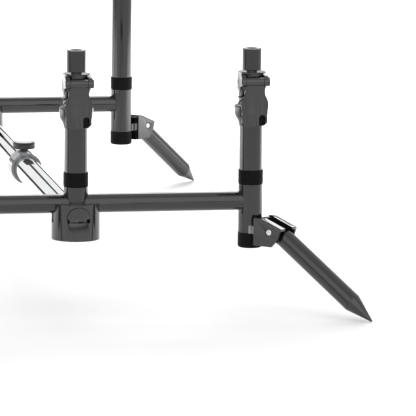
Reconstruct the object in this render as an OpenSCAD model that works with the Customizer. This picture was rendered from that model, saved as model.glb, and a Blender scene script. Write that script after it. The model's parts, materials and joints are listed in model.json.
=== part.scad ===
// Low three-rod pod: two crossbars on a telescopic beam, each with three telescopic
// uprights that end in a threaded head, and with folding spike legs at both ends.
// X runs along the crossbars, Y along the beam and Z up. The origin lies on the ground
// under the middle of the beam. Millimetres.

/* [Stance] */
// Distance between the axes of the two crossbars
beam_span = 690; // [640:1:760]
// Front bar: from the centre upright to an end upright
front_reach = 162; // [140:1:200]
// Rear bar: from the centre upright to an end upright
rear_reach = 149; // [130:1:190]
// Height of the crossbar axes above the ground
bar_height = 98.6; // [90:0.1:112]
// Turn of the legs away from the crossbar, in plan, in degrees
leg_splay = 45; // [35:1:55]

/* [Beam] */
// Depth of the beam axis below the crossbar axes
beam_drop = 16.5; // [16.2:0.1:17.5]
// Outer diameter of the outer beam tube
outer_beam_d = 24.6; // [24:0.1:25]
// Wall of the outer beam tube
outer_beam_wall = 1.2; // [1:0.1:1.3]
// Length of the outer beam tube
outer_beam_length = 369; // [340:1:390]
// Outer diameter of the inner beam tube
inner_beam_d = 20.8; // [19:0.1:20.9]
// Wall of the inner beam tube
inner_beam_wall = 1.2; // [1:0.1:2]
// Length of the inner tube held inside the outer tube
beam_overlap = 80; // [76:1:110]
// Length of the guide bush in the mouth of the outer tube
guide_length = 30; // [20:1:34]
// Length of the slider bush on the end of the inner tube
slider_length = 16; // [10:1:20]
// Outer diameter of the ring collar
ring_d = 30.4; // [28:0.1:33]
// Length of the ring collar that grips the outer tube
ring_grip = 26; // [25.5:0.5:34]
// Thickness of the lip that closes the ring collar
ring_lip = 2; // [1.5:0.1:4]

/* [Thumbscrew] */
// Diameter of the thumbscrew's shank
screw_d = 5; // [4:0.1:6]
// Diameter of the thumbscrew's knob
knob_d = 21.7; // [16:0.1:24]
// Height of the thumbscrew's knob
knob_h = 6.4; // [4:0.1:8]
// From the ring collar's front face back to the thumbscrew's axis
screw_back = 21; // [7:0.1:21.5]
// Bare shank between the ring collar's boss and the knob
screw_neck = 0.8; // [0.5:0.1:3]
// Diameter of the ring collar's conical boss at its foot
boss_d = 11; // [9:0.1:12]
// Height of the boss above the ring collar
boss_h = 1.4; // [1:0.1:5]

/* [Crossbars] */
// Outer diameter of a crossbar tube
crossbar_d = 17.3; // [15:0.1:18]
// Wall of a crossbar tube
crossbar_wall = 1.6; // [1:0.1:2.4]
// Outer diameter of an upright socket
socket_d = 22.2; // [21:0.1:22.6]
// Wall of an upright socket
socket_wall = 1.6; // [1.2:0.1:2.2]
// Rise of a socket above the crossbar axis
socket_rise = 15.7; // [12:0.1:18]
// Fall of an end socket below the crossbar axis
socket_fall = 28.9; // [28:0.1:34]
// Diameter of the black bush and of the end cap
bush_d = 22.8; // [22.6:0.1:26]
// Height of the black bush on a socket
bush_h = 13.3; // [12:0.1:20]
// Height of the end cap under a socket
cap_h = 14.2; // [9:0.1:16]

/* [Hub] */
// Diameter of a hub
hub_d = 44.1; // [42:0.1:49]
// Rise of a hub above the crossbar axis
hub_rise = 0.8; // [0.2:0.1:2]
// Fall of a hub below the crossbar axis
hub_fall = 32.4; // [30:0.1:38]
// Radius of the D-shaped release button
button_r = 10.5; // [8.5:0.1:10.8]
// Pressing travel of the release button
button_travel = 2; // [1:0.1:2.4]
// Stand of the release button out of the hub
button_proud = 0.8; // [0.4:0.1:1.6]

/* [Uprights] */
// Outer diameter of an upright tube
upright_d = 21.2; // [20:0.1:21.4]
// Wall of an upright tube
upright_wall = 1.6; // [1.2:0.1:1.8]
// Front bar: height of a clamp's lower end above the crossbar axis
front_clamp_z = 67.5; // [60:0.5:120]
// Rear bar: height of a clamp's lower end above the crossbar axis
rear_clamp_z = 227.5; // [120:0.5:300]
// Diameter of a post's stem
post_d = 10; // [9:0.1:15]
// Diameter of a post's head
head_d = 17.8; // [16.6:0.1:20]
// Height of a post's head
head_h = 20.1; // [17:0.1:26]
// Rest height of a post's head above its clamp
head_lift = 1.3; // [1.2:0.1:20]
// Diameter of the threaded hole in a post's head
thread_d = 9.52; // [8:0.01:10]
// Depth of the threaded hole
thread_depth = 14; // [10:0.5:16]

/* [Clamp] */
// Height of a clamp body
clamp_h = 51.9; // [51:0.1:60]
// Radius of the clamp's upper lobe
upper_lobe_r = 13.6; // [13:0.1:15]
// Radius of the clamp's lower lobe
lower_lobe_r = 15.7; // [14.5:0.1:16.5]
// Radius of the clamp's waist
waist_r = 12; // [11.6:0.1:12.4]
// Diameter of the lever's hinge barrel
barrel_d = 7.6; // [7:0.1:8.6]
// Width of the lever's hinge barrel
barrel_w = 16.2; // [15:0.1:17.6]
// Diameter of the lever's hinge pin
lever_pin_d = 3.6; // [3:0.1:4.4]
// Greatest width of the lever
lever_w = 25.2; // [25:0.1:28]
// Thickness of the lever's shield
lever_t = 2.6; // [2:0.1:3.4]

/* [Legs] */
// Reach of a leg's tip from its socket axis, in plan
leg_reach = 135; // [123:1:150]
// Outer diameter of a leg tube
leg_d = 17.2; // [16:0.1:17.6]
// Wall of a leg tube
leg_wall = 1.6; // [1.2:0.1:2.4]
// Length of the spike's cone
spike_length = 26; // [20:0.5:34]
// Radius of the spike's blunt point
point_r = 0.6; // [0.4:0.1:1.5]
// Distance of the leg pin from the socket axis
pivot_out = 29.9; // [29.2:0.1:32]
// Depth of the leg pin below the crossbar axis
pivot_drop = 25.4; // [24:0.1:27]
// Diameter of the leg pin
leg_pin_d = 5.6; // [4.5:0.1:6.4]
// Clear width between the two cheeks of a bracket
cheek_gap = 23; // [22:0.1:25]
// Thickness of a cheek
cheek_t = 2; // [1.6:0.1:2.6]
// Width of the lip along a cheek's upper edge
lip_w = 7.4; // [6.8:0.1:7.8]

/* [Clearances] */
// Radial clearance of pins and sliding shafts
run_gap = 0.08; // [0.05:0.01:0.1]
// Radial gap of parts that are bonded or pressed together
bond_gap = 0.02; // [0.01:0.01:0.05]
// Gap between moving parts that pass each other
pass_gap = 0.4; // [0.3:0.05:0.6]
// Gap under a part that rests on a stop
seat_gap = 0.15; // [0.1:0.05:0.3]

/* [Hidden] */
$fn = 64;
BARS = ["front", "rear"];
SIDES = ["left", "centre", "right"];
ENDS = ["left", "right"];

// Colours as the finish of each kind of piece looks
GRAPHITE = "#45464a";
CLAMP_GREY = "#5c5e62";
BLACK = "#17181a";
CHROME = "#d6d8da";
STEEL = "#b9bbbd";

// Beam
beam_z = bar_height - beam_drop;
beam_seat = 8;
outer_start = -beam_span / 2 - beam_seat;
outer_end = outer_start + outer_beam_length;
outer_bore = outer_beam_d - 2 * outer_beam_wall;
inner_start = outer_end - beam_overlap;
inner_end = beam_span / 2 + beam_seat;
ring_start = outer_end - ring_grip;
screw_y = ring_start + screw_back;
boss_top = ring_d / 2 + boss_h;
boss_sink = 1.3;
boss_root = ring_d / 2 - boss_sink;
boss_top_d = 6.6;
knob_z = boss_top + screw_neck;
knob_flutes = 36;
flute_r = 0.55;
knob_chamfer = 0.6;

// Hub
hub_r = hub_d / 2;
socket_seat = 3.4;
button_z = -11.7;
button_flat = 0;
button_t = 4.2;
button_back = hub_r - button_t;
spring_room = 2;
spring_z = button_z + (button_r + button_flat) / 2;
spring_d = 7;
spring_wire = 0.7;
spring_turns = 2.5;
spring_rings = 12;
spring_sides = 6;
pocket_back = button_back - button_travel - spring_room;
slot_h = 3.4;
slot_depth = 3;
notch_depth = 4.2;
notch_w = 12;
notch_fall = 8;

// Sockets, bushes and caps
socket_bore = socket_d - 2 * socket_wall;
bush_floor = 3;
bush_spigot = 15;
spigot_wall = 2;
bush_chamfer = 0.8;
bush_round = 0.45;
cap_round = 2.2;
cap_spigot = 7;

// Uprights and clamps, with heights counted from a clamp's lower end
upright_bore = upright_d - 2 * upright_wall;
tube_top = 36;
foot_d = upright_bore - 2 * run_gap;
foot_h = 8;
foot_lift = 4;
head_edge = 0.5;
rim_wall = 0.6;
clamp_low = 1.8;
rim_h = 3;
flare_r = 12.4;
flare_h = 7;
lobe_low = 11.9;
lobe_high = 20.3;
lobe_taper = 0.7;
waist_low = 23.5;
waist_high = 33;
waist_blend = 4;
flank_low = 30;
top_chamfer = 0.5;
hinge_h = 44.1;
hinge_stand = 3.2;
hinge_y = -(upper_lobe_r + hinge_stand);
lever_gap = 0.8;
shield_in = lower_lobe_r + lever_gap;
shield_out = shield_in + lever_t;
shield_bend = 45;
ear_w = 3.9;
ear_in = barrel_w / 2 + pass_gap;
ear_out = ear_in + ear_w;
ear_back = 5;
ear_flat = 6;
ear_slope_drop = 2.6;
ear_step = 12.5;
ear_foot = 35;
knuckle_wall = 0.3;
knuckle_r = barrel_d / 2 + knuckle_wall;
pin_head_d = 8.8;
pin_head_t = 1;
pin_tail_d = 5.4;
pin_tail_t = 0.3;
eye_length = 11.2;
eye_w = 6.1;
eye_wire = 2.3;
eye_x = -9.4;
eye_y = -8;
eye_h = 33.8;
eye_tilt = 16;
arch_w = 6;
arch_x = 6.8;
arch_h = 13.9;
arch_depth = 1.6;
dimple_w = 9.8;
dimple_x = -3.3;
dimple_h = 14.5;
dimple_depth = 0.5;
lever_foot = 3.8;
lever_corner = 2.2;
lever_corner_w = 2.6;
lever_corner_in = 0.8;
lever_side = 7;
lever_taper = 0.9;
shoulder_low = 15.5;
shoulder_mid = 20;
shoulder_mid_in = 0.3;
shoulder_h = 24.5;
shoulder_blend = 3.6;
shoulder_start = 2.2;
neck_w = 18.8;
neck_gap = 0.6;
neck_h = hinge_h - knuckle_r - neck_gap;
lever_waist_h = 33;

// Legs, in a frame on the socket axis at the crossbar's height, with X along the leg
leg_rise = bar_height - pivot_drop;
leg_run = leg_reach - pivot_out;
point_lift = point_r * leg_run / norm([leg_run, leg_rise]);
leg_slope = atan2(leg_rise - point_lift, leg_run);
leg_length = norm([leg_run, leg_rise - point_lift]);
tube_length = leg_length - spike_length;
tube_start = 10;
knuckle_spigot = 15;
spike_spigot = 14;
cheek_back = 16.9;
cheek_flat = 8.1;
cheek_rise = 11.6;
cheek_fall = 13.5;
cheek_nose = 13;
cheek_nose_rise = 3.8;
cheek_heel = 2.7;
cheek_toe = 10.1;
cheek_toe_fall = 5.5;
pin_ring_d = leg_pin_d + 1.8;
pin_ring_depth = 0.5;
pin_proud = 0.6;
bend_r = 1.8;
sleeve_d = 11.6;
saddle_bite = 0.7;
saddle_in = socket_d / 2 - saddle_bite;
saddle_room = 9.4;
saddle_out = pivot_out - saddle_room;
saddle_rise = -1.5;
strap_h = 7.2;
strap_lift = 0.1;
strap_top = strap_h + strap_lift - socket_fall;
strap_t = 2;
strap_angle = 62;
strap_out = max(pivot_out - cheek_back, socket_d / 2 + strap_t + bond_gap);
strap_z = strap_top - strap_h / 2;
bolt_d = 4;
bolt_head_d = 7;
bolt_head_t = 3;
key_d = 3.4;
key_depth = 1.8;
bolt_reach = socket_d / 2 - socket_wall - 1;
heel_w = 9;
heel_low = 1;
heel_high = 5.5;
tang_w = cheek_gap + 2 * cheek_t - 2 * lip_w - 2 * pass_gap;
tang_sink = 0.3;
tang_toe = [12.2, 0.3];
tang_sole = [4, -6];
tang_heel = [-3, -6];
tang_fall = 3;
body_start = 3;

function bar_y(b) = b == "front" ? -beam_span / 2 : beam_span / 2;
function bar_turn(b) = b == "front" ? 0 : 180;
function bar_reach(b) = b == "front" ? front_reach : rear_reach;
function side_x(b, s) = s == "left" ? -bar_reach(b) : s == "right" ? bar_reach(b) : 0;
function clamp_z(b) = b == "front" ? front_clamp_z : rear_clamp_z;
function leg_turn(b, s) =
    (b == "front" ? -1 : 1) * (s == "right" ? leg_splay : 180 - leg_splay);
function beam_d(b) = b == "front" ? outer_beam_d : inner_beam_d;

// Points of a smooth curve through the given points, which keeps their ends
function smooth(p, steps = 4) = concat(
    [for (i = [0 : len(p) - 2]) for (k = [0 : steps - 1])
        let (t = k / steps, a = p[max(i - 1, 0)], b = p[i], c = p[i + 1], d = p[min(i + 2, len(p) - 1)])
        b + t / 2 * (c - a + t * (2 * a - 5 * b + 4 * c - d + t * (3 * b - a - 3 * c + d)))],
    [p[len(p) - 1]]);

// Places its children on a bar's centre, at the crossbar axis, facing out of the pod
module at_bar(b) {
    translate([0, bar_y(b), bar_height]) rotate([0, 0, bar_turn(b)]) children();
}

// Places its children on an upright's axis, at the crossbar axis, facing out of the pod
module at_upright(b, s) {
    translate([side_x(b, s), bar_y(b), bar_height]) rotate([0, 0, bar_turn(b)]) children();
}

// Places its children on an end socket's axis, with X along the leg in plan
module at_leg(b, s) {
    translate([side_x(b, s), bar_y(b), bar_height]) rotate([0, 0, leg_turn(b, s)]) children();
}

// A round bar along Y in the beam's axis
module beam_bar(d, from, to) {
    translate([0, from, beam_z]) rotate([-90, 0, 0]) cylinder(d = d, h = to - from);
}

// A round bar along X, centred on the origin
module cross_pin(d, w) {
    rotate([0, 90, 0]) cylinder(d = d, h = w, center = true);
}

// A round bar that stands on Z, with both of its edges broken
module edged_bar(d, h, edge) {
    rotate_extrude() polygon([[0, 0], [d / 2 - edge, 0], [d / 2, edge], [d / 2, h - edge],
        [d / 2 - edge, h], [0, h]]);
}

// A plate cut from a side outline in X and Z, between two places along Y
module side_plate(from, to) {
    translate([0, to, 0]) rotate([90, 0, 0]) linear_extrude(to - from) children();
}

// A plate cut from a front outline in X and Z, from the axis out to a depth on -Y
module front_plate(depth) {
    rotate([90, 0, 0]) linear_extrude(depth) children();
}

// The hole that the thumbscrew runs through
module screw_hole() {
    translate([0, screw_y, beam_z])
        cylinder(d = screw_d + 2 * run_gap, h = boss_top + 1);
}

module beam_outer_tube() {
    color(CHROME) difference() {
        beam_bar(outer_beam_d, outer_start, outer_end);
        beam_bar(outer_bore, outer_start - 1, outer_end + 1);
        screw_hole();
    }
}

module beam_inner_tube() {
    color(CHROME) difference() {
        beam_bar(inner_beam_d, inner_start, inner_end);
        beam_bar(inner_beam_d - 2 * inner_beam_wall, inner_start - 1, inner_end + 1);
    }
}

module beam_guide_bush() {
    color(BLACK) difference() {
        beam_bar(outer_bore - 2 * bond_gap, outer_end - guide_length, outer_end);
        beam_bar(inner_beam_d + 2 * run_gap, outer_end - guide_length - 1, outer_end + 1);
        screw_hole();
    }
}

module beam_slider_bush() {
    color(BLACK) difference() {
        beam_bar(outer_bore - 2 * run_gap, inner_start, inner_start + slider_length);
        beam_bar(inner_beam_d + 2 * bond_gap, inner_start - 1, inner_start + slider_length + 1);
    }
}

module beam_ring_collar() {
    color(GRAPHITE) difference() {
        union() {
            beam_bar(ring_d, ring_start, outer_end + ring_lip);
            translate([0, screw_y, beam_z + boss_root])
                cylinder(d1 = boss_d, d2 = boss_top_d, h = boss_top - boss_root);
        }
        beam_bar(outer_beam_d + 2 * bond_gap, ring_start - 1, outer_end + bond_gap);
        beam_bar(inner_beam_d + 2 * pass_gap, ring_start, outer_end + ring_lip + 1);
        screw_hole();
    }
}

module beam_thumbscrew() {
    color(GRAPHITE) translate([0, screw_y, beam_z]) difference() {
        union() {
            translate([0, 0, inner_beam_d / 2 + seat_gap])
                cylinder(d = screw_d, h = knob_z - inner_beam_d / 2);
            translate([0, 0, knob_z]) edged_bar(knob_d, knob_h, knob_chamfer);
        }
        for (i = [0 : knob_flutes - 1]) rotate([0, 0, i * 360 / knob_flutes])
            translate([knob_d / 2, 0, knob_z - 1]) cylinder(r = flute_r, h = knob_h + 2);
    }
}

// The release button's outline: a disc with its lower part cut straight
module button_outline(grow) {
    translate([0, button_z]) difference() {
        circle(r = button_r + grow);
        translate([0, button_flat - grow - button_r])
            square([4 * button_r, 2 * button_r], center = true);
    }
}

module hub(b) {
    color(GRAPHITE) at_bar(b) difference() {
        translate([0, 0, -hub_fall]) cylinder(d = hub_d, h = hub_fall + hub_rise);
        cross_pin(crossbar_d + 2 * bond_gap, hub_d + 2);
        translate([0, 0, -socket_seat]) cylinder(d = socket_d + 2 * bond_gap, h = socket_seat + 2);
        translate([0, -beam_seat - bond_gap, -beam_drop]) rotate([-90, 0, 0])
            cylinder(d = beam_d(b) + 2 * bond_gap, h = beam_seat + hub_r + 1);
        difference() {
            front_plate(hub_r + 1) button_outline(pass_gap);
            translate([-hub_r, -pocket_back, -hub_fall]) cube([hub_d, hub_d, hub_fall + 2]);
        }
        difference() {
            front_plate(hub_r + 1)
                translate([-button_r, button_z + button_flat - pass_gap - slot_h])
                    square([2 * button_r, slot_h + pass_gap]);
            translate([0, 0, -hub_fall]) cylinder(r = hub_r - slot_depth, h = hub_fall);
        }
        for (x = [-hub_r, hub_r])
            translate([x, 0, -(crossbar_d / 2 + notch_fall) / 2])
                cube([2 * notch_depth, notch_w, crossbar_d / 2 + notch_fall], center = true);
    }
}

module release_button(b) {
    color(GRAPHITE) at_bar(b) intersection() {
        translate([0, 0, -hub_fall]) cylinder(r = hub_r + button_proud, h = hub_fall + hub_rise);
        difference() {
            front_plate(hub_r + button_proud + 1) button_outline(0);
            translate([-hub_r, -button_back, -hub_fall]) cube([hub_d, hub_d, hub_fall + 2]);
        }
    }
}

// A coil spring that stands on Z, swept in rings along its helix
module coil_spring(length) {
    mean_r = (spring_d - spring_wire) / 2;
    steps = spring_turns * spring_rings;
    points = [for (i = [0 : steps]) for (k = [0 : spring_sides - 1])
        let (turn = i * 360 / spring_rings, ring = k * 360 / spring_sides,
            r = mean_r + spring_wire / 2 * cos(ring),
            z = spring_wire / 2 * (1 + sin(ring)) + (length - spring_wire) * i / steps)
        [r * cos(turn), r * sin(turn), z]];
    sides = [for (i = [0 : steps - 1]) for (k = [0 : spring_sides - 1])
        let (a = i * spring_sides + k, b = i * spring_sides + (k + 1) % spring_sides)
        each [[a, a + spring_sides, b], [b, a + spring_sides, b + spring_sides]]];
    ends = [for (k = [1 : spring_sides - 2]) each [
        [0, k, k + 1],
        [steps * spring_sides, steps * spring_sides + k + 1, steps * spring_sides + k]]];
    polyhedron(points, concat(sides, ends));
}

module button_spring(b) {
    color(STEEL) at_bar(b) translate([0, -button_back + bond_gap, spring_z]) rotate([-90, 0, 0])
        coil_spring(button_back - pocket_back - 2 * bond_gap);
}

module crossbar(b) {
    color(GRAPHITE) at_bar(b) for (way = [-1, 1]) difference() {
        translate([way * bar_reach(b) / 2, 0, 0]) cross_pin(crossbar_d, bar_reach(b));
        cross_pin(crossbar_d - 2 * crossbar_wall, 3 * bar_reach(b));
        for (x = [0, way * bar_reach(b)]) translate([x, 0, -socket_fall])
            cylinder(d = socket_d + 2 * bond_gap, h = 2 * socket_fall);
    }
}

module sockets(b) {
    color(GRAPHITE) {
        at_upright(b, "centre") difference() {
            translate([0, 0, -socket_seat + bond_gap])
                cylinder(d = socket_d, h = socket_rise + socket_seat - bond_gap);
            translate([0, 0, -socket_fall]) cylinder(d = socket_bore, h = 2 * socket_fall);
        }
        for (s = ENDS) at_leg(b, s) difference() {
            translate([0, 0, -socket_fall]) cylinder(d = socket_d, h = socket_rise + socket_fall);
            translate([0, 0, -socket_fall - 1]) cylinder(d = socket_bore, h = 3 * socket_fall);
            saddle_bolt_shank(bond_gap);
        }
    }
}

module socket_bushes(b) {
    color(BLACK) for (s = SIDES) at_upright(b, s) translate([0, 0, socket_rise + bond_gap])
        rotate_extrude() polygon([
            [socket_bore / 2 - bond_gap - spigot_wall, -bush_spigot],
            [socket_bore / 2 - bond_gap, -bush_spigot],
            [socket_bore / 2 - bond_gap, 0],
            [bush_d / 2 - bush_chamfer, 0],
            [bush_d / 2, bush_chamfer],
            [bush_d / 2, bush_h - bush_round],
            [bush_d / 2 - bush_round, bush_h],
            [upright_d / 2 + bond_gap, bush_h],
            [upright_d / 2 + bond_gap, bush_floor],
            [socket_bore / 2 - bond_gap - spigot_wall, bush_floor]]);
}

module end_caps(b) {
    color(BLACK) for (s = ENDS) at_leg(b, s) difference() {
        translate([0, 0, -socket_fall - bond_gap]) rotate_extrude() polygon(concat(
            [[0, 0], [0, -cap_h]],
            [for (a = [-90 : 15 : 0])
                [bush_d / 2 - cap_round + cap_round * cos(a), -cap_h + cap_round + cap_round * sin(a)]],
            [[bush_d / 2, 0], [socket_bore / 2 - bond_gap, 0], [socket_bore / 2 - bond_gap, cap_spigot],
                [socket_bore / 2 - bond_gap - spigot_wall, cap_spigot],
                [socket_bore / 2 - bond_gap - spigot_wall, 0]]));
        saddle_bolt_shank(pass_gap);
    }
}

module upright_tubes(b) {
    low = socket_rise + bush_floor + 2 * bond_gap;
    color(GRAPHITE) for (s = SIDES) at_upright(b, s) difference() {
        translate([0, 0, low]) cylinder(d = upright_d, h = clamp_z(b) + tube_top - low);
        cylinder(d = upright_bore, h = clamp_z(b) + clamp_h);
    }
}

// The round body of a clamp, wide at both ends and drawn in at the waist
module clamp_round() {
    rim = upright_d / 2 + rim_wall;
    rotate_extrude() polygon(concat(
        [[0, clamp_low], [rim, clamp_low]],
        smooth([[rim, rim_h], [flare_r, flare_h],
            [lower_lobe_r - lobe_taper, lobe_low], [lower_lobe_r, lobe_high]]),
        smooth([[lower_lobe_r - lobe_taper, lobe_high + lobe_taper], [waist_r, waist_low],
            [waist_r, waist_high], [upper_lobe_r, waist_high + waist_blend]]),
        [[upper_lobe_r, clamp_h - top_chamfer], [upper_lobe_r - top_chamfer, clamp_h], [0, clamp_h]]));
}

// The two ears that carry the lever's pin, with tops that slope down to the front
module clamp_ears() {
    for (way = [-1, 1]) translate([way * (ear_in + ear_out) / 2, 0, 0]) {
        rotate([90, 0, 90]) linear_extrude(ear_out - ear_in, center = true) polygon([
            [ear_back, clamp_h], [-ear_flat, clamp_h], [hinge_y, clamp_h - ear_slope_drop],
            [hinge_y, hinge_h - knuckle_r], [-ear_step, hinge_h - knuckle_r],
            [0, ear_foot], [ear_back, ear_foot]]);
        translate([0, hinge_y, hinge_h]) cross_pin(2 * knuckle_r, ear_out - ear_in);
    }
}

// The oval eye on the left of a clamp's waist, close beside the lever
module clamp_eye() {
    run = eye_length - eye_w;
    bend_r = (eye_w - eye_wire) / 2;
    translate([eye_x - bend_r, eye_y, eye_h]) rotate([0, eye_tilt, 0]) rotate([90, 0, 0]) {
        for (way = [-1, 1]) {
            translate([way * bend_r, 0, 0]) rotate([90, 0, 0])
                cylinder(d = eye_wire, h = run, center = true);
            translate([0, way * run / 2, 0]) rotate([0, 0, way > 0 ? 0 : 180])
                rotate_extrude(angle = 180) translate([bend_r, 0]) circle(d = eye_wire);
        }
    }
}

module clamp_bodies(b) {
    color(CLAMP_GREY) for (s = SIDES) at_upright(b, s) translate([0, 0, clamp_z(b)]) difference() {
        union() {
            clamp_round();
            clamp_ears();
            clamp_eye();
        }
        translate([0, 0, -1]) cylinder(d = upright_d + 2 * bond_gap, h = tube_top + bond_gap + 1);
        cylinder(d = post_d + 2 * run_gap, h = clamp_h + 1);
        translate([0, hinge_y, hinge_h]) {
            cross_pin(barrel_d + 2 * pass_gap, barrel_w + 2 * pass_gap);
            cross_pin(lever_pin_d + 2 * bond_gap, 4 * ear_out);
        }
        for (way = [-1, 1]) translate([way * (ear_out + upper_lobe_r / 2), 0, flank_low + clamp_h / 2])
            cube([upper_lobe_r, 2 * upper_lobe_r, clamp_h], center = true);
    }
}

module lever_pins(b) {
    face = ear_out + bond_gap;
    color(CLAMP_GREY) for (s = SIDES) at_upright(b, s) translate([0, hinge_y, clamp_z(b) + hinge_h])
        rotate([0, 90, 0]) rotate_extrude() polygon([
            [0, -face - pin_tail_t], [pin_tail_d / 2, -face - pin_tail_t], [pin_tail_d / 2, -face],
            [lever_pin_d / 2, -face], [lever_pin_d / 2, face], [pin_head_d / 2, face],
            [pin_head_d / 2, face + pin_head_t], [0, face + pin_head_t]]);
}

// The lever seen from the front: a neck at the barrel, a waist and a wide shield
module lever_outline() {
    neck = neck_w / 2;
    wide = lever_w / 2;
    foot = wide - lever_taper;
    right = concat([[barrel_w / 2, hinge_h], [barrel_w / 2, neck_h]], smooth([[neck, neck_h],
        [neck, lever_waist_h], [neck + shoulder_start, shoulder_h + shoulder_blend],
        [wide, shoulder_h], [wide - shoulder_mid_in, shoulder_mid], [foot, shoulder_low],
        [foot, lever_side], [foot - lever_corner_in, lever_foot + lever_corner],
        [foot - lever_corner_w, lever_foot]]));
    polygon(concat(right, [for (i = [len(right) - 1 : -1 : 0]) [-right[i][0], right[i][1]]]));
}

// An arch with a straight foot below the lever's end
module arch_outline(x, w, h) {
    translate([x, h - w / 2]) circle(d = w);
    translate([x - w / 2, -h]) square([w, 2 * h - w / 2]);
}

// The bent form that a lever's shield follows, up to a depth behind its face
module shield_form(depth) {
    translate([0, shield_bend - shield_out, -1]) cylinder(r = shield_bend - depth, h = clamp_h + 2);
}

module lever(b, s) {
    color(CLAMP_GREY) at_upright(b, s) translate([0, 0, clamp_z(b)]) difference() {
        union() {
            translate([0, hinge_y, hinge_h]) cross_pin(barrel_d, barrel_w);
            difference() {
                intersection() {
                    shield_form(0);
                    front_plate(2 * shield_out) lever_outline();
                }
                shield_form(lever_t);
            }
        }
        translate([0, hinge_y, hinge_h]) cross_pin(lever_pin_d + 2 * run_gap, 2 * barrel_w);
        difference() {
            front_plate(2 * shield_out) arch_outline(arch_x, arch_w, arch_h);
            shield_form(arch_depth);
        }
        difference() {
            front_plate(2 * shield_out) arch_outline(dimple_x, dimple_w, dimple_h);
            shield_form(dimple_depth);
        }
    }
}

module post(b, s) {
    low = socket_rise + bush_floor + foot_lift;
    top = clamp_z(b) + clamp_h + head_lift;
    color(GRAPHITE) at_upright(b, s) difference() {
        union() {
            translate([0, 0, low]) cylinder(d = foot_d, h = foot_h);
            translate([0, 0, low]) cylinder(d = post_d, h = top - low + 1);
            translate([0, 0, top]) edged_bar(head_d, head_h, head_edge);
        }
        translate([0, 0, top + head_h - thread_depth]) cylinder(d = thread_d, h = thread_depth + 1);
    }
}

// The outline of a bracket's cheek, around the leg pin
module cheek_outline() {
    translate([pivot_out, -pivot_drop]) polygon([
        [-cheek_back, cheek_rise], [-cheek_flat, cheek_rise], [cheek_nose, cheek_nose_rise],
        [cheek_toe, -cheek_toe_fall], [cheek_heel, -cheek_fall], [-cheek_back, -cheek_fall]]);
}

// The lip's edge along the slope of a cheek
module lip_outline() {
    translate([pivot_out, -pivot_drop]) polygon([
        [-cheek_flat, cheek_rise], [cheek_nose, cheek_nose_rise],
        [cheek_nose, cheek_nose_rise - cheek_t], [-cheek_flat, cheek_rise - cheek_t]]);
}

// What a bracket's bend rounds off along the slope, outside the cheek that faces +Y
module bend_cut(face) {
    slope = atan2(cheek_rise - cheek_nose_rise, cheek_flat + cheek_nose);
    run = norm([cheek_rise - cheek_nose_rise, cheek_flat + cheek_nose]);
    translate([pivot_out - cheek_flat, face, cheek_rise - pivot_drop]) rotate([0, slope, 0])
        translate([0, -bend_r, -bend_r]) difference() {
            translate([-bend_r, 0, 0]) cube([run + 2 * bend_r, 2 * bend_r, 2 * bend_r]);
            translate([-2 * bend_r, 0, 0]) rotate([0, 90, 0])
                cylinder(r = bend_r, h = run + 4 * bend_r);
        }
}

module leg_brackets(b) {
    face = cheek_gap / 2 + cheek_t;
    color(CLAMP_GREY) for (s = ENDS) at_leg(b, s) for (way = [0, 1]) mirror([0, way, 0]) difference() {
        union() {
            side_plate(cheek_gap / 2, face) cheek_outline();
            side_plate(face - lip_w, face) lip_outline();
        }
        translate([pivot_out, 0, -pivot_drop]) rotate([-90, 0, 0]) {
            cylinder(d = leg_pin_d + 2 * bond_gap, h = 2 * face);
            translate([0, 0, face - pin_ring_depth]) cylinder(d = pin_ring_d, h = face);
        }
        bend_cut(face);
    }
}

module leg_pins(b) {
    reach = cheek_gap / 2 + cheek_t + pin_proud;
    color(STEEL) for (s = ENDS) at_leg(b, s) translate([pivot_out, 0, -pivot_drop])
        rotate([90, 0, 0]) rotate_extrude() polygon([
            [0, -reach], [leg_pin_d / 2 - pin_proud, -reach], [leg_pin_d / 2, -reach + pin_proud],
            [leg_pin_d / 2, reach - pin_proud], [leg_pin_d / 2 - pin_proud, reach], [0, reach]]);
}

// The shank of the bolt that holds a saddle to its socket
module saddle_bolt_shank(grow) {
    translate([bolt_reach, 0, strap_z]) rotate([0, 90, 0])
        cylinder(d = bolt_d + 2 * grow, h = saddle_out - bolt_reach - bolt_head_t);
}

module leg_saddles(b) {
    w = cheek_gap - 2 * bond_gap;
    top = cheek_rise - pivot_drop + saddle_rise;
    low = -cheek_fall - pivot_drop;
    color(BLACK) for (s = ENDS) at_leg(b, s) difference() {
        translate([saddle_in, -w / 2, low]) cube([saddle_out - saddle_in, w, top - low]);
        translate([0, 0, low - 1]) cylinder(d = socket_d + 2 * bond_gap, h = top - low + 2);
        translate([0, 0, low - 1]) cylinder(d = bush_d + 2 * bond_gap, h = -socket_fall - low + 1);
        translate([0, -w, strap_top - strap_h - bond_gap])
            cube([strap_out, 2 * w, strap_h + 2 * bond_gap]);
        saddle_bolt_shank(bond_gap);
        translate([saddle_out - bolt_head_t - bond_gap, 0, strap_z]) rotate([0, 90, 0])
            cylinder(d = bolt_head_d + 2 * bond_gap, h = bolt_head_t + 1);
    }
}

module leg_straps(b) {
    w = cheek_gap - 2 * bond_gap;
    color(GRAPHITE) for (s = ENDS) at_leg(b, s) translate([0, 0, strap_top - strap_h]) difference() {
        union() {
            rotate([0, 0, -strap_angle]) rotate_extrude(angle = 2 * strap_angle)
                translate([socket_d / 2 + bond_gap, 0]) square([strap_t - bond_gap, strap_h]);
            translate([saddle_in, -w / 2, 0]) cube([strap_out - bond_gap - saddle_in, w, strap_h]);
        }
        translate([0, 0, -1]) cylinder(d = socket_d + 2 * bond_gap, h = strap_h + 2);
        translate([0, 0, strap_h - strap_top]) saddle_bolt_shank(bond_gap);
    }
}

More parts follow.
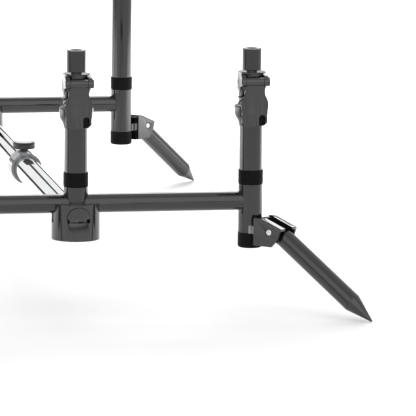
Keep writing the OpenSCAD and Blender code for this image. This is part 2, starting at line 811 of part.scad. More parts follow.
module saddle_bolts(b) {
    color(STEEL) for (s = ENDS) at_leg(b, s) {
        saddle_bolt_shank(0);
        translate([saddle_out - bolt_head_t, 0, strap_z]) rotate([0, 90, 0]) difference() {
            cylinder(d = bolt_head_d, h = bolt_head_t - bond_gap);
            translate([0, 0, bolt_head_t - key_depth]) cylinder(d = key_d, h = bolt_head_t, $fn = 6);
        }
    }
}

// Places its children on a leg pin, with X down along the leg
module along_leg(b, s) {
    at_leg(b, s) translate([pivot_out, 0, -pivot_drop]) rotate([0, leg_slope, 0]) children();
}

// The knuckle's tang between the lips, around the leg pin
module tang_outline() {
    translate([pivot_out, -pivot_drop]) polygon([
        [-cheek_flat, cheek_rise - tang_sink], [cheek_nose, cheek_nose_rise - tang_sink],
        tang_toe, tang_sole, tang_heel, [-cheek_flat, -tang_fall]]);
}

module leg_knuckle(b, s) {
    color(BLACK) difference() {
        union() {
            along_leg(b, s) {
                rotate([90, 0, 0]) cylinder(d = sleeve_d, h = cheek_gap - 2 * pass_gap, center = true);
                translate([body_start, 0, 0]) rotate([0, 90, 0])
                    cylinder(d = leg_d, h = tube_start - bond_gap - body_start);
                rotate([0, 90, 0])
                    cylinder(d = leg_d - 2 * leg_wall - 2 * bond_gap, h = tube_start + knuckle_spigot);
            }
            at_leg(b, s) {
                side_plate(-tang_w / 2, tang_w / 2) tang_outline();
                translate([saddle_out + seat_gap, -heel_w / 2, heel_low - pivot_drop])
                    cube([pivot_out - saddle_out - seat_gap, heel_w, heel_high - heel_low]);
            }
        }
        along_leg(b, s) rotate([90, 0, 0])
            cylinder(d = leg_pin_d + 2 * run_gap, h = 2 * cheek_gap, center = true);
    }
}

module leg_tube(b, s) {
    color(GRAPHITE) along_leg(b, s) rotate([0, 90, 0]) difference() {
        translate([0, 0, tube_start]) cylinder(d = leg_d, h = tube_length - tube_start);
        cylinder(d = leg_d - 2 * leg_wall, h = leg_length);
    }
}

module leg_spike(b, s) {
    color(GRAPHITE) along_leg(b, s) translate([tube_length, 0, 0]) rotate([0, 90, 0]) {
        translate([0, 0, bond_gap])
            cylinder(d1 = leg_d, d2 = 2 * point_r, h = spike_length - bond_gap);
        translate([0, 0, -spike_spigot])
            cylinder(d = leg_d - 2 * leg_wall - 2 * bond_gap, h = spike_spigot + 1);
    }
}

beam_outer_tube();
beam_inner_tube();
beam_guide_bush();
beam_slider_bush();
beam_ring_collar();
beam_thumbscrew();
for (b = BARS) {
    hub(b);
    release_button(b);
    button_spring(b);
    crossbar(b);
    sockets(b);
    socket_bushes(b);
    end_caps(b);
    upright_tubes(b);
    clamp_bodies(b);
    lever_pins(b);
    leg_saddles(b);
    leg_straps(b);
    saddle_bolts(b);
    leg_brackets(b);
    leg_pins(b);
    for (s = SIDES) {
        post(b, s);
        lever(b, s);
    }
    for (s = ENDS) {
        leg_knuckle(b, s);
        leg_tube(b, s);
        leg_spike(b, s);
    }
}
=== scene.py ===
"""Rod pod: finishes, rounded edges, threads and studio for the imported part."""

import json
import math

import bmesh
import bpy
from bpy.props import FloatProperty, FloatVectorProperty, IntProperty, PointerProperty
from mathutils import Matrix, Vector


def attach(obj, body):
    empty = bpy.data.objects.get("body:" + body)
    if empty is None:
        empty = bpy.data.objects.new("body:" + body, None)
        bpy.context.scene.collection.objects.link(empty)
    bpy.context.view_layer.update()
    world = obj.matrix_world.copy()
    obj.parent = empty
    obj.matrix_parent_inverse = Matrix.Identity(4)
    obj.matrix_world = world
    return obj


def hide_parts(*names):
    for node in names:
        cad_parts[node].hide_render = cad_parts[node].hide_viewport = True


bl_info = {
    "name": "Rod Pod",
    "version": (1, 0, 0),
    "blender": (4, 5, 0),
    "location": "3D View > Sidebar > Rod Pod",
    "description": "Gives the rod pod its finishes, rounded edges and studio",
    "category": "Object",
}

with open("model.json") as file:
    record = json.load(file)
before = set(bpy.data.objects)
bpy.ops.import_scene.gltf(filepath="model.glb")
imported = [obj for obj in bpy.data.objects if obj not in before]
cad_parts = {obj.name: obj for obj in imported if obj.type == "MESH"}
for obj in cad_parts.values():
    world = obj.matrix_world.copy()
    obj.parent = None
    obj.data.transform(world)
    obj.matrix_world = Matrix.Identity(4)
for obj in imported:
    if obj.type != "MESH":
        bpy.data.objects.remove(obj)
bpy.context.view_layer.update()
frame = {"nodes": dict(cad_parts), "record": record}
MM = 0.001

BARS = ("front", "rear")
SIDES = ("left", "centre", "right")
ENDS = ("left", "right")

RECORD = frame["record"]
BODY_OF = {
    node: body for body, nodes in RECORD["behaviour"]["bodies"].items() for node in nodes
}
JOINTS = {joint["name"]: joint for joint in RECORD["behaviour"]["joints"]}
MOUNTS = {mount["name"]: mount for mount in RECORD["mounts"]}

# Corners closer than the gap are one corner, and faces that turn less than the angle are one face
WELD_GAP = 0.002 * MM
FLAT_TURN = math.radians(0.4)

# Slack for choosing faces by their place
NEAR = 0.01 * MM

# The range that most of a noise value lies in
NOISE_LOW = 0.3
NOISE_HIGH = 0.7

# How open a surface is where the painted shade in a crevice is darkest, and where it stops
CREVICE_SHUT = 0.35
CREVICE_OPEN = 0.9

# The thread's steps in one turn, its bite into the wall, and half its foot as a share of the pitch
TURN_STEPS = 32
THREAD_BITE = 0.05 * MM
HALF_FOOT = 0.42

# The floor's middle to its edge, and how far the camera sees, in metres
FLOOR_REACH = 30.0
VIEW_END = 100.0

# Each lamp's size, place and aim in metres
LAMPS = {
    "back": {"size": (1.5, 1.0), "spot": (0.55, 1.6, 1.6), "aim": (0.0, 0.1, 0.1)},
    "top": {"size": (2.8, 2.8), "spot": (0.0, -0.7, 2.2), "aim": (0.0, -0.7, 0.0)},
    "floor": {"size": (2.5, 0.8), "spot": (0.2, 2.2, 1.2), "aim": (0.2, 1.6, 0.0)},
    "left": {"size": (0.9, 1.1), "spot": (-0.95, 0.45, 0.45), "aim": (-0.95, 0.45, 0.0)},
    "right": {"size": (0.9, 1.6), "spot": (1.1, 0.65, 0.45), "aim": (1.1, 0.65, 0.0)},
}

# Lamps that glossy surfaces show, and lamps with a narrow light
SHOWN_IN_GLOSS = ("back",)
SIDE_LAMPS = ("left", "right")

# The dark line that glossy surfaces show above the horizon: heights, as sines, and their brightness
LINE_REACH = 0.1
DARK_LINE = ((-0.002, 1.0), (0.0, 0.0), (0.06, 0.0), (0.064, 1.0))

# Depths, from -1 in front to 1 behind, at which the room that glossy surfaces show changes
SOFTBOX_START = -1.0
SOFTBOX_END = -0.56
TOP_START = -0.44
BACK_START = 0.9


def colour(name, description, default):
    """A colour setting in linear light."""
    return FloatVectorProperty(
        name=name, description=description, subtype="COLOR", size=3,
        min=0.0, max=1.0, default=default,
    )


def length(name, description, default):
    """A length setting in metres."""
    return FloatProperty(
        name=name, description=description, unit="LENGTH", min=0.0, default=default
    )


def share(name, description, default):
    """A setting from 0 to 1."""
    return FloatProperty(
        name=name, description=description, subtype="FACTOR", min=0.0, max=1.0, default=default
    )


def turn(name, description, degrees):
    """An angle setting."""
    return FloatProperty(
        name=name, description=description, unit="ROTATION", default=math.radians(degrees)
    )


def strength(name, description, default):
    """A brightness setting, where 1 is white."""
    return FloatProperty(name=name, description=description, min=0.0, default=default)


def refraction(name, description, default):
    """An index of refraction setting."""
    return FloatProperty(name=name, description=description, min=1.0, max=2.5, default=default)


def power(name, description, watts):
    """A lamp's power setting."""
    return FloatProperty(name=name, description=description, unit="POWER", default=watts)


class PodFinishes(bpy.types.PropertyGroup):
    """Colours and roughness of the pod's surfaces"""

    graphite: colour("Graphite", "Dark anodised tubes, sockets and posts", (0.0085, 0.0088, 0.0094))
    clamp_grey: colour("Clamp grey", "Lacquer of the clamps, levers and hubs", (0.02, 0.0205, 0.0215))
    sheet_grey: colour("Sheet grey", "Lacquer of the pressed leg brackets", (0.014, 0.0143, 0.015))
    collar_grey: colour("Collar grey", "Coat of the ring collar and the leg straps", (0.2, 0.202, 0.207))
    spike_grey: colour("Spike grey", "Turned points of the legs", (0.012, 0.0123, 0.013))
    # The black plastic colour also paints shade into the levers' recesses and the posts' holes
    plastic: colour("Black plastic", "Bushes, caps, saddles and knuckles", (0.0035, 0.0035, 0.0037))
    chrome: colour("Chrome", "Plated beam tubes and the thumbscrew's top", (0.86, 0.87, 0.88))
    steel: colour("Steel", "Bright pins, bolts, springs and screw", (0.72, 0.73, 0.74))
    tube_roughness: share("Tube roughness", "Roughness of the anodised tubes", 0.05)
    satin_roughness: share("Satin roughness", "Roughness of the lacquered clamps", 0.09)
    plastic_roughness: share("Plastic roughness", "Roughness of the moulded plastic", 0.5)
    plastic_shine: share("Plastic shine", "Strength of the moulded plastic's reflections", 0.1)
    plastic_ior: refraction("Plastic IOR", "Refraction of the moulded plastic", 1.48)
    coat_ior: refraction("Coat IOR", "Refraction of the dark coats", 1.65)
    # Painted shade: the lacquers darken their colour in gaps and recesses narrower than this width
    crevice: length("Crevice", "Width of the gaps and recesses that look darker", 2.5 * MM)


class PodEdges(bpy.types.PropertyGroup):
    """Rounding of the pod's edges, its threads, the places that have a finish of their own and the
    recesses painted with shade
    """

    tube: length("Tube edge", "Rounding of the turned tube ends", 0.3 * MM)
    casting: length("Cast edge", "Rounding of the clamps and hubs", 0.45 * MM)
    sheet: length("Sheet edge", "Rounding of the pressed sheet", 0.5 * MM)
    fine: length("Fine edge", "Rounding of pins and small parts", 0.15 * MM)
    sharp: turn("Sharp angle", "Edges that turn more than this are rounded", 34.0)
    segments: IntProperty(
        name="Segments", description="Steps across a rounded edge", min=1, max=6, default=3
    )
    thread_pitch: length("Thread pitch", "Rise of the post's thread in one turn", 1.27 * MM)
    thread_depth: length("Thread depth", "Height of the thread's ridge", 0.62 * MM)
    thread_mouth: length("Thread mouth", "Plain bore above the thread", 1.8 * MM)
    knob_rim: length("Knob rim", "Dark rim round the thumbscrew's polished top", 2.2 * MM)
    recess_x: length("Recess place", "Lever's middle to the recess in its foot", 6.8 * MM)
    recess_w: length("Recess width", "Width of the recess in a lever's foot", 6.0 * MM)
    recess_drop: length("Recess drop", "Lever's hinge to the top of the recess", 30.2 * MM)


class PodStudio(bpy.types.PropertyGroup):
    """Camera, floor, lamps and the room that glossy surfaces show"""

    lens: FloatProperty(
        name="Lens", description="Focal length on a 36 mm sensor", unit="CAMERA", default=396.516
    )
    eye: FloatVectorProperty(
        name="Eye", description="Place of the camera", subtype="TRANSLATION", unit="LENGTH", size=3,
        default=(-0.595752, -4.434718, 0.729639),
    )
    yaw: turn("Yaw", "Turn of the view to the right of the beam", 9.962)
    pitch: turn("Pitch", "Turn of the view below the horizon", 8.7287)
    roll: turn("Roll", "Turn of the picture about the view", -0.5494)
    floor: colour("Floor", "Colour of the floor", (0.93, 0.93, 0.93))
    sky: strength("Sky", "Strength of the light from all round", 0.78)
    front_shine: strength("Front shine", "Softbox in front, as glossy surfaces show it", 1.5)
    top_shine: strength("Top shine", "Room above, as glossy surfaces show it", 0.75)
    back_shine: strength("Back shine", "Room behind, as glossy surfaces show it", 0.94)
    back_power: power("Back lamp", "Power of the soft lamp behind", 17.7)
    top_power: power("Top lamp", "Power of the soft lamp above", 10.0)
    floor_power: power("Floor lamp", "Power of the lamp over the floor behind", 40.0)
    left_power: power("Left lamp", "Power of the lamp over the floor at the left", 5.0)
    right_power: power("Right lamp", "Power of the lamp over the floor at the right", 9.0)
    side_spread: turn("Side spread", "Opening of the side lamps' light", 70.0)


class PodSettings(bpy.types.PropertyGroup):
    """All settings of the rod pod"""

    finishes: PointerProperty(type=PodFinishes)
    edges: PointerProperty(type=PodEdges)
    studio: PointerProperty(type=PodStudio)


def settings():
    """The scene's rod pod settings."""
    return bpy.context.scene.rod_pod


def toned(base, factor):
    """A colour made darker or lighter, as a socket takes it."""
    return (*(channel * factor for channel in base), 1.0)


def grey(level):
    """A grey as a socket takes it, where 1 is white."""
    return (level, level, level, 1.0)


class Nodes:
    """A node tree under construction, with short calls for its nodes."""

    def __init__(self, tree):
        self.tree = tree

    def feed(self, into, value):
        """Joins a socket to another one, or sets it to a constant."""
        if isinstance(value, bpy.types.NodeSocket):
            self.tree.links.new(value, into)
        else:
            into.default_value = value

    def add(self, kind, inputs, **properties):
        """A new node, with its properties set and its inputs fed."""
        node = self.tree.nodes.new(kind)
        for name, value in properties.items():
            setattr(node, name, value)
        for name, value in inputs.items():
            self.feed(node.inputs[name], value)
        return node

    def remap(self, value, low, high, to_low=0.0, to_high=1.0):
        """Maps a value from one range to another and keeps it inside."""
        ends = {"From Min": low, "From Max": high, "To Min": to_low, "To Max": to_high}
        return self.add("ShaderNodeMapRange", {"Value": value, **ends}).outputs["Result"]

    def ramp(self, value, stops):
        """Colours a value from 0 to 1 by stops, each a value and its colour."""
        node = self.add("ShaderNodeValToRGB", {"Fac": value})
        elements = node.color_ramp.elements
        while len(elements) < len(stops):
            elements.new(1.0)
        for element, (spot, shade) in zip(elements, stops):
            element.position = spot
            element.color = shade
        return node.outputs["Color"]

    def levels(self, value, low, high, stops):
        """Turns a value between low and high to greys by stops, each a value and its brightness."""
        shares = [((spot - low) / (high - low), grey(level)) for spot, level in stops]
        return self.ramp(self.remap(value, low, high), shares)

    def mix(self, factor, first, second, blend="MIX"):
        """Mixes two colours."""
        inputs = {"Factor": factor, "A": first, "B": second}
        node = self.add("ShaderNodeMix", inputs, data_type="RGBA", blend_type=blend)
        return node.outputs["Result"]

    def larger(self, first, second):
        """The larger of two values."""
        node = self.add("ShaderNodeMath", {0: first, 1: second}, operation="MAXIMUM")
        return node.outputs["Value"]


class Finish(Nodes):
    """A procedural material under construction."""

    def __init__(self, name):
        self.material = bpy.data.materials.new(name)
        self.material.use_nodes = True
        super().__init__(self.material.node_tree)
        self.shader = self.tree.nodes["Principled BSDF"]
        self.coordinates = self.add("ShaderNodeTexCoord", {}).outputs["Object"]

    def set(self, socket, value):
        """Feeds an input of the shader."""
        self.feed(self.shader.inputs[socket], value)

    def noise(self, scale, detail=3.0, stretch=(1.0, 1.0, 1.0)):
        """A noise value over the surface, with features of about 1/scale metres."""
        mapping = self.add("ShaderNodeMapping", {"Vector": self.coordinates, "Scale": stretch})
        inputs = {"Vector": mapping.outputs["Vector"], "Scale": scale, "Detail": detail}
        return self.add("ShaderNodeTexNoise", inputs).outputs["Fac"]

    def spread(self, value, low, high):
        """Maps a noise value to a range."""
        return self.remap(value, NOISE_LOW, NOISE_HIGH, low, high)

    def tint(self, base, value, low, high):
        """Paints the base colour, darker and lighter by a noise value."""
        return self.ramp(value, ((NOISE_LOW, toned(base, low)), (NOISE_HIGH, toned(base, high))))

    def worn(self, painted, base, wear, start, end):
        """Lightens the painted colour on convex edges, as handling does."""
        geometry = self.add("ShaderNodeNewGeometry", {})
        edge = self.remap(geometry.outputs["Pointiness"], start, end)
        return self.mix(edge, painted, toned(base, wear))

    def paint_shade(self, painted, width, low):
        """Paints shade into the colour inside gaps and recesses, darkest where ambient occlusion finds
        them closed.
        """
        hidden = self.add("ShaderNodeAmbientOcclusion", {"Distance": width})
        depth = self.remap(hidden.outputs["AO"], CREVICE_SHUT, CREVICE_OPEN, low)
        return self.mix(1.0, painted, depth, "MULTIPLY")

    def bump(self, height, depth):
        """Raises the surface by a height value, up to a depth in metres."""
        node = self.add("ShaderNodeBump", {"Distance": depth, "Height": height})
        self.set("Normal", node.outputs["Normal"])


def lacquer(name, base, roughness, grain, grain_depth, wear):
    """Dark glossy coat on metal: faint cloudiness, orange peel, lighter worn edges and painted shade in
    crevices.
    """
    finishes = settings().finishes
    made = Finish(name)
    cloud = made.noise(scale=60.0, detail=2.0)
    painted = made.tint(base, cloud, low=0.9, high=1.12)
    worn = made.worn(painted, base, wear, start=0.53, end=0.62)
    gloss = made.spread(made.noise(scale=700.0), low=roughness * 0.85, high=roughness * 1.2)
    # The base colour carries painted shade in gaps and recesses
    made.set("Base Color", made.paint_shade(worn, finishes.crevice, low=0.15))
    made.set("Roughness", gloss)
    made.set("IOR", finishes.coat_ior)
    made.bump(made.noise(scale=grain, detail=2.0), grain_depth)
    return made.material


def graphite():
    """Dark anodised tube."""
    finishes = settings().finishes
    return lacquer(
        "graphite_anodised", finishes.graphite, finishes.tube_roughness,
        grain=1800.0, grain_depth=0.004 * MM, wear=1.8,
    )


def clamp_grey():
    """Grey of the clamps, levers, hubs and release buttons."""
    finishes = settings().finishes
    return lacquer(
        "clamp_grey_lacquer", finishes.clamp_grey, finishes.satin_roughness,
        grain=2600.0, grain_depth=0.006 * MM, wear=1.6,
    )


def sheet_grey():
    """Grey of the pressed sheet brackets."""
    finishes = settings().finishes
    return lacquer(
        "bracket_grey", finishes.sheet_grey, finishes.tube_roughness,
        grain=1400.0, grain_depth=0.005 * MM, wear=1.6,
    )


def collar_grey():
    """Lighter grey of the ring collar and the leg straps."""
    finishes = settings().finishes
    return lacquer(
        "collar_grey", finishes.collar_grey, finishes.satin_roughness,
        grain=1400.0, grain_depth=0.004 * MM, wear=1.4,
    )


def spike_grey():
    """Grey of the turned points."""
    finishes = settings().finishes
    return lacquer(
        "turned_spike_grey", finishes.spike_grey, finishes.tube_roughness,
        grain=1600.0, grain_depth=0.008 * MM, wear=2.2,
    )


def moulded(name, shine):
    """Moulded black plastic with a fine leathery grain."""
    finishes = settings().finishes
    roughness = finishes.plastic_roughness
    made = Finish(name)
    painted = made.tint(finishes.plastic, made.noise(scale=120.0), low=0.8, high=1.25)
    gloss = made.spread(made.noise(scale=900.0), low=roughness * 0.9, high=roughness * 1.15)
    made.set("Base Color", made.worn(painted, finishes.plastic, wear=2.2, start=0.53, end=0.64))
    made.set("Roughness", gloss)
    made.set("IOR", finishes.plastic_ior)
    made.set("Specular IOR Level", shine)
    made.bump(made.noise(scale=3200.0, detail=4.0), 0.012 * MM)
    return made.material


def black_plastic_and_painted_shade():
    """Black of the bushes, caps and saddles, and painted shade in the levers' recesses and the posts'
    holes.
    """
    return moulded("moulded_black_plastic", settings().finishes.plastic_shine)


def matt_black():
    """Dull black of the leg knuckles."""
    return moulded("matt_black_plastic", 0.0)


def metal(name, base, smoothest, roughest, lines, stretch, depth):
    """Bare metal with fine tool lines."""
    made = Finish(name)
    tool = made.noise(scale=lines, detail=2.0, stretch=stretch)
    cloud = made.noise(scale=40.0, detail=2.0)
    made.set("Base Color", made.tint(base, cloud, low=0.96, high=1.04))
    made.set("Roughness", made.spread(tool, smoothest, roughest))
    made.set("Metallic", 1.0)
    made.bump(tool, depth)
    return made.material


def chrome():
    """Polished plating with faint lines along the tube."""
    return metal(
        "polished_chrome", settings().finishes.chrome, smoothest=0.01, roughest=0.03,
        lines=900.0, stretch=(1.0, 0.02, 1.0), depth=0.0006 * MM,
    )


def steel():
    """Bright turned steel."""
    return metal(
        "bright_steel", settings().finishes.steel, smoothest=0.16, roughest=0.3,
        lines=1500.0, stretch=(1.0, 1.0, 1.0), depth=0.003 * MM,
    )


FINISHES = {}


def finish(maker):
    """The material that a maker gives, made once."""
    if maker.__name__ not in FINISHES:
        FINISHES[maker.__name__] = maker()
    return FINISHES[maker.__name__]


def welded(node, name):
    """A node's mesh as a new one, with its split corners joined and its flat triangles merged."""
    mesh = frame["nodes"][node].data.copy()
    mesh.name = name
    mesh.materials.clear()
    shape = bmesh.new()
    shape.from_mesh(mesh)
    bmesh.ops.remove_doubles(shape, verts=shape.verts, dist=WELD_GAP)
    bmesh.ops.dissolve_limit(
        shape, angle_limit=FLAT_TURN, verts=shape.verts, edges=shape.edges,
        use_dissolve_boundaries=False,
    )
    shape.to_mesh(mesh)
    shape.free()
    return mesh


def place(mesh, name, body, maker):
    """A mesh as a piece of the object, on its body and with its finish."""
    if not mesh.polygons:
        raise RuntimeError(f"{name} has no faces")
    piece = bpy.data.objects.new(name, mesh)
    bpy.context.scene.collection.objects.link(piece)
    mesh.materials.append(finish(maker))
    mesh.polygons.foreach_set("use_smooth", [True] * len(mesh.polygons))
    mesh.set_sharp_from_angle(angle=settings().edges.sharp)
    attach(piece, body)
    return piece


def dress(node, maker, rounding):
    """A rounded copy of a node, which stands for it."""
    name = f"{node}_dressed"
    piece = place(welded(node, name), name, BODY_OF[node], maker)
    edges = settings().edges
    bevel = piece.modifiers.new("Rounded edges", "BEVEL")
    bevel.width = rounding
    bevel.segments = edges.segments
    bevel.limit_method = "ANGLE"
    bevel.angle_limit = edges.sharp
    bevel.harden_normals = True
    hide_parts(node)
    return piece


def inlay(piece, maker, inside):
    """Gives the faces of a piece that pass a test another finish."""
    mesh = piece.data
    mesh.materials.append(finish(maker))
    chosen = [face for face in mesh.polygons if inside(face)]
    if not chosen:
        raise RuntimeError(f"{piece.name} has no face for its inlay")
    for face in chosen:
        face.material_index = len(mesh.materials) - 1


def paint(node, maker):
    """Gives a node its finish and keeps its shape."""
    mesh = frame["nodes"][node].data
    mesh.materials.clear()
    mesh.materials.append(finish(maker))


def inset_top(mesh, rim):
    """Parts a mesh's highest face into a rim and a face inside it."""
    shape = bmesh.new()
    shape.from_mesh(mesh)
    top = max(shape.faces, key=lambda face: face.calc_center_median().z)
    bmesh.ops.inset_region(shape, faces=[top], thickness=rim)
    shape.to_mesh(mesh)
    shape.free()


def thread_mesh(name, low, high, radius, centre):
    """The ridge of a thread inside a hole, wound up the wall from low to high."""
    edges = settings().edges
    half = edges.thread_pitch * HALF_FOOT
    wall = radius + THREAD_BITE
    profile = ((wall, -half), (radius - edges.thread_depth, 0.0), (wall, half))
    steps = int((high - low - 2 * half) / edges.thread_pitch * TURN_STEPS)
    shape = bmesh.new()
    rings = []
    for step in range(steps + 1):
        around = step * math.tau / TURN_STEPS
        rise = low + half + edges.thread_pitch * step / TURN_STEPS
        rings.append([
            shape.verts.new((
                centre.x + out * math.cos(around), centre.y + out * math.sin(around), rise + up
            ))
            for out, up in profile
        ])
    sides = len(profile)
    for lower, upper in zip(rings, rings[1:]):
        for corner in range(sides):
            after = (corner + 1) % sides
            shape.faces.new((lower[corner], upper[corner], upper[after], lower[after]))
    shape.faces.new(rings[0])
    shape.faces.new(reversed(rings[-1]))
    bmesh.ops.recalc_face_normals(shape, faces=shape.faces)
    mesh = bpy.data.meshes.new(name)
    shape.to_mesh(mesh)
    shape.free()
    return mesh


def cut_thread(post, bar, side):
    """Paints shade into a post's hole, which the record states, by giving its wall the black finish, and
    winds the thread into it.
    """
    mount = MOUNTS[f"{bar}_{side}_thread"]
    centre = Vector(mount["pos_m"])
    radius = mount["dims"]["r_mm"] * MM
    half = mount["dims"]["length_mm"] * MM / 2
    bottom, top = centre.z - half, centre.z + half

    def inside(face):
        out = (face.center - centre).to_2d().length
        return out < radius + NEAR and bottom - NEAR < face.center.z < top - NEAR

    # Painted shade: the hole's wall gets the black finish
    inlay(post, black_plastic_and_painted_shade, inside)
    name = f"{bar}_thread_{side}"
    mesh = thread_mesh(name, bottom, top - settings().edges.thread_mouth, radius, centre)
    place(mesh, name, f"{bar}_post_{side}", graphite)


def paint_recess_shade(lever, joint):
    """Paints shade into the blind recess in a lever's foot: its faces, placed from the lever's hinge,
    get the black finish.
    """
    edges = settings().edges
    hinge = Vector(joint["pos_m"])
    right = -joint["axis"][0]

    def inside(face):
        across = abs(right * (face.center.x - hinge.x) - edges.recess_x)
        return across < edges.recess_w / 2 + NEAR and face.center.z < hinge.z - edges.recess_drop

    # Painted shade: the recess's faces get the black finish
    inlay(lever, black_plastic_and_painted_shade, inside)


def add_camera(studio):
    """A camera at the photograph's viewing angle."""
    yaw, pitch, roll = studio.yaw, studio.pitch, studio.roll
    forward = Vector((
        math.sin(yaw) * math.cos(pitch), math.cos(yaw) * math.cos(pitch), -math.sin(pitch)
    ))
    level = Vector((math.cos(yaw), -math.sin(yaw), 0.0))
    below = forward.cross(level)
    right = math.cos(roll) * level + math.sin(roll) * below
    down = math.cos(roll) * below - math.sin(roll) * level
    turned = Matrix((right, -down, -forward)).transposed().to_4x4()
    data = bpy.data.cameras.new("camera")
    data.lens = studio.lens
    data.clip_end = VIEW_END
    camera = bpy.data.objects.new("camera", data)
    bpy.context.scene.collection.objects.link(camera)
    camera.matrix_world = Matrix.Translation(studio.eye) @ turned
    bpy.context.scene.camera = camera


def add_floor(studio):
    """A wide plain floor."""
    ends = (-FLOOR_REACH, FLOOR_REACH)
    corners = [(x, y, 0.0) for y in ends for x in ends]
    mesh = bpy.data.meshes.new("floor")
    mesh.from_pydata(corners, [], [(0, 1, 3, 2)])
    floor = bpy.data.objects.new("floor", mesh)
    bpy.context.scene.collection.objects.link(floor)
    made = Finish("pale_floor")
    made.set("Base Color", made.tint(studio.floor, made.noise(scale=3.0), low=0.995, high=1.005))
    made.set("Roughness", 1.0)
    made.set("Specular IOR Level", 0.0)
    mesh.materials.append(made.material)


def add_world(studio):
    """Even light from all round, white to the camera.

    Glossy surfaces show a bright softbox in front, a dimmer room above and behind it, and a thin
    dark line above the horizon.
    """
    world = bpy.data.worlds.new("studio")
    world.use_nodes = True
    bpy.context.scene.world = world
    made = Nodes(world.node_tree)
    light = world.node_tree.nodes["Background"]
    made.feed(light.inputs["Color"], grey(1.0))
    made.feed(light.inputs["Strength"], studio.sky)
    around = made.add("ShaderNodeTexCoord", {}).outputs["Generated"]
    direction = made.add("ShaderNodeSeparateXYZ", {"Vector": around}).outputs
    horizon = made.levels(direction["Z"], -LINE_REACH, LINE_REACH, DARK_LINE)
    depths = (
        (SOFTBOX_START, studio.front_shine),
        (SOFTBOX_END, studio.front_shine),
        (TOP_START, studio.top_shine),
        (BACK_START, studio.back_shine),
    )
    room = made.mix(1.0, horizon, made.levels(direction["Y"], -1.0, 1.0, depths), "MULTIPLY")
    ray = made.add("ShaderNodeLightPath", {}).outputs
    shown = made.mix(ray["Is Camera Ray"], room, grey(1.0))
    seen = made.add("ShaderNodeBackground", {"Color": shown})
    shiny = made.larger(ray["Is Camera Ray"], ray["Is Glossy Ray"])
    direct = made.larger(shiny, ray["Is Transmission Ray"])
    backgrounds = {1: light.outputs["Background"], 2: seen.outputs["Background"]}
    both = made.add("ShaderNodeMixShader", {"Fac": direct, **backgrounds})
    made.feed(world.node_tree.nodes["World Output"].inputs["Surface"], both.outputs["Shader"])


def add_lamp(name, studio):
    """A soft rectangular lamp, hidden from the camera."""
    plan = LAMPS[name]
    spot = Vector(plan["spot"])
    data = bpy.data.lights.new(f"{name}_lamp", "AREA")
    data.shape = "RECTANGLE"
    data.size, data.size_y = plan["size"]
    data.energy = getattr(studio, f"{name}_power")
    if name in SIDE_LAMPS:
        data.spread = studio.side_spread
    lamp = bpy.data.objects.new(f"{name}_lamp", data)
    bpy.context.scene.collection.objects.link(lamp)
    lamp.location = spot
    lamp.rotation_mode = "QUATERNION"
    lamp.rotation_quaternion = (Vector(plan["aim"]) - spot).to_track_quat("-Z", "Y")
    lamp.visible_camera = False
    lamp.visible_glossy = name in SHOWN_IN_GLOSS


class ROD_POD_OT_stage(bpy.types.Operator):
    """Sets the camera, the floor, the light from all round and the lamps"""

    bl_idname = "rod_pod.stage"
    bl_label = "Stage"

    def execute(self, context):
        studio = context.scene.rod_pod.studio
        context.scene.view_settings.view_transform = "Standard"
        add_camera(studio)
        add_floor(studio)
        add_world(studio)
        for name in LAMPS:
            add_lamp(name, studio)
        return {"FINISHED"}


class ROD_POD_OT_beam(bpy.types.Operator):
    """Dresses the telescopic beam: chrome tubes, bushes and ring collar"""

    bl_idname = "rod_pod.beam"
    bl_label = "Beam"

    def execute(self, context):
        edges = context.scene.rod_pod.edges
        for node in ("beam_outer_tube", "beam_inner_tube"):
            dress(node, chrome, edges.tube)
        for node in ("beam_guide_bush", "beam_slider_bush"):
            dress(node, black_plastic_and_painted_shade, edges.fine)
        dress("beam_ring_collar", collar_grey, edges.casting)
        return {"FINISHED"}


class ROD_POD_OT_thumbscrew(bpy.types.Operator):
    """Dresses the beam's fluted thumbscrew, with a polished top and a bright screw"""

    bl_idname = "rod_pod.thumbscrew"
    bl_label = "Thumbscrew"

    def execute(self, context):
        edges = context.scene.rod_pod.edges
        knob = dress("beam_thumbscrew", graphite, edges.fine)
        inset_top(knob.data, edges.knob_rim)
        axis = Vector(JOINTS["thumbscrew_turn"]["pos_m"]).to_2d()
        corners = [vertex.co for vertex in knob.data.vertices]
        reaches = [(corner.to_2d() - axis).length for corner in corners]
        rim_start = max(reaches) - edges.knob_rim
        top = max(corner.z for corner in corners)
        underside = min(corner.z for corner, reach in zip(corners, reaches) if reach > rim_start)

        # The faces of the rim have four corners, and the face inside it has more
        inlay(
            knob, chrome, lambda face: face.center.z > top - edges.fine and len(face.vertices) > 4
        )
        inlay(knob, steel, lambda face: face.center.z < underside - edges.fine)
        return {"FINISHED"}


class ROD_POD_OT_hubs(bpy.types.Operator):
    """Dresses the hubs under the centre uprights, with their release buttons and springs"""

    bl_idname = "rod_pod.hubs"
    bl_label = "Hubs"

    def execute(self, context):
        edges = context.scene.rod_pod.edges
        for bar in BARS:
            dress(f"{bar}_hub", clamp_grey, edges.casting)
            dress(f"{bar}_release_button", clamp_grey, edges.casting)
            paint(f"{bar}_button_spring", steel)
        return {"FINISHED"}


class ROD_POD_OT_crossbars(bpy.types.Operator):
    """Dresses the crossbar tubes and the upright sockets"""

    bl_idname = "rod_pod.crossbars"
    bl_label = "Crossbars"

    def execute(self, context):
        edges = context.scene.rod_pod.edges
        for bar in BARS:
            dress(f"{bar}_crossbar", graphite, edges.fine)
            dress(f"{bar}_sockets", graphite, edges.tube)
        return {"FINISHED"}


class ROD_POD_OT_bushes(bpy.types.Operator):
    """Dresses the black bushes on the sockets and the caps under them"""

    bl_idname = "rod_pod.bushes"
    bl_label = "Bushes and caps"

    def execute(self, context):
        edges = context.scene.rod_pod.edges
        for bar in BARS:
            dress(f"{bar}_socket_bushes", black_plastic_and_painted_shade, edges.tube)
            dress(f"{bar}_end_caps", black_plastic_and_painted_shade, edges.tube)
        return {"FINISHED"}


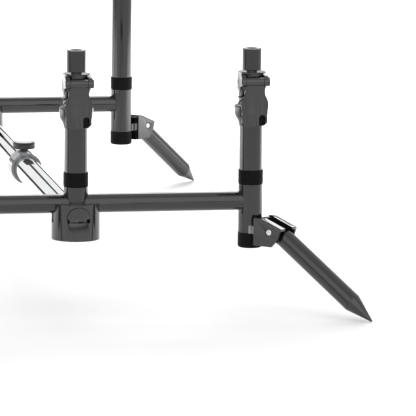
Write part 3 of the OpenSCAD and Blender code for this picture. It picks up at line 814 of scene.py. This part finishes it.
class ROD_POD_OT_uprights(bpy.types.Operator):
    """Dresses the upright tubes and the posts, paints shade into the posts' holes and cuts their threads
    """

    bl_idname = "rod_pod.uprights"
    bl_label = "Uprights and posts"

    def execute(self, context):
        edges = context.scene.rod_pod.edges
        for bar in BARS:
            dress(f"{bar}_upright_tubes", graphite, edges.tube)
            for side in SIDES:
                post = dress(f"{bar}_post_{side}", graphite, edges.casting)
                cut_thread(post, bar, side)
        return {"FINISHED"}


class ROD_POD_OT_clamps(bpy.types.Operator):
    """Dresses the clamp bodies and the hinge pins of their levers"""

    bl_idname = "rod_pod.clamps"
    bl_label = "Clamps"

    def execute(self, context):
        edges = context.scene.rod_pod.edges
        for bar in BARS:
            dress(f"{bar}_clamp_bodies", clamp_grey, edges.casting)
            dress(f"{bar}_lever_pins", clamp_grey, edges.tube)
        return {"FINISHED"}


class ROD_POD_OT_levers(bpy.types.Operator):
    """Dresses the clamp levers and paints shade into the recesses in their feet"""

    bl_idname = "rod_pod.levers"
    bl_label = "Levers"

    def execute(self, context):
        edges = context.scene.rod_pod.edges
        for bar in BARS:
            for side in SIDES:
                lever = dress(f"{bar}_lever_{side}", clamp_grey, edges.casting)
                paint_recess_shade(lever, JOINTS[f"{bar}_lever_{side}_open"])
        return {"FINISHED"}


class ROD_POD_OT_brackets(bpy.types.Operator):
    """Dresses the leg brackets with their saddles, straps, bolts and pins"""

    bl_idname = "rod_pod.brackets"
    bl_label = "Leg brackets"

    def execute(self, context):
        edges = context.scene.rod_pod.edges
        for bar in BARS:
            dress(f"{bar}_leg_brackets", sheet_grey, edges.sheet)
            dress(f"{bar}_leg_saddles", black_plastic_and_painted_shade, edges.casting)
            dress(f"{bar}_leg_straps", collar_grey, edges.fine)
            dress(f"{bar}_saddle_bolts", steel, edges.fine)
            dress(f"{bar}_leg_pins", steel, edges.fine)
        return {"FINISHED"}


class ROD_POD_OT_legs(bpy.types.Operator):
    """Dresses the leg tubes with their knuckles and spikes"""

    bl_idname = "rod_pod.legs"
    bl_label = "Legs"

    def execute(self, context):
        edges = context.scene.rod_pod.edges
        for bar in BARS:
            for end in ENDS:
                dress(f"{bar}_leg_knuckle_{end}", matt_black, edges.tube)
                dress(f"{bar}_leg_tube_{end}", graphite, edges.tube)
                dress(f"{bar}_leg_spike_{end}", spike_grey, edges.fine)
        return {"FINISHED"}


MAKERS = (
    ROD_POD_OT_stage,
    ROD_POD_OT_beam,
    ROD_POD_OT_thumbscrew,
    ROD_POD_OT_hubs,
    ROD_POD_OT_crossbars,
    ROD_POD_OT_bushes,
    ROD_POD_OT_uprights,
    ROD_POD_OT_clamps,
    ROD_POD_OT_levers,
    ROD_POD_OT_brackets,
    ROD_POD_OT_legs,
)


class ROD_POD_PT_panel(bpy.types.Panel):
    """The rod pod's makers and settings in the sidebar"""

    bl_idname = "ROD_POD_PT_panel"
    bl_label = "Rod Pod"
    bl_space_type = "VIEW_3D"
    bl_region_type = "UI"
    bl_category = "Rod Pod"

    def draw(self, context):
        pod = context.scene.rod_pod
        for maker in MAKERS:
            self.layout.operator(maker.bl_idname)
        for group in (pod.finishes, pod.edges, pod.studio):
            box = self.layout.box()
            for name in group.__annotations__:
                box.prop(group, name)


CLASSES = (PodFinishes, PodEdges, PodStudio, PodSettings, *MAKERS, ROD_POD_PT_panel)


def register():
    """Adds the classes and the scene's settings."""
    for made in CLASSES:
        bpy.utils.register_class(made)
    bpy.types.Scene.rod_pod = PointerProperty(type=PodSettings)


def unregister():
    """Takes the classes and the settings away."""
    del bpy.types.Scene.rod_pod
    for made in reversed(CLASSES):
        bpy.utils.unregister_class(made)


def main():
    """Makes every piece."""
    register()
    for maker in MAKERS:
        group, name = maker.bl_idname.split(".")
        getattr(getattr(bpy.ops, group), name)()


if __name__ == "__main__":
    main()
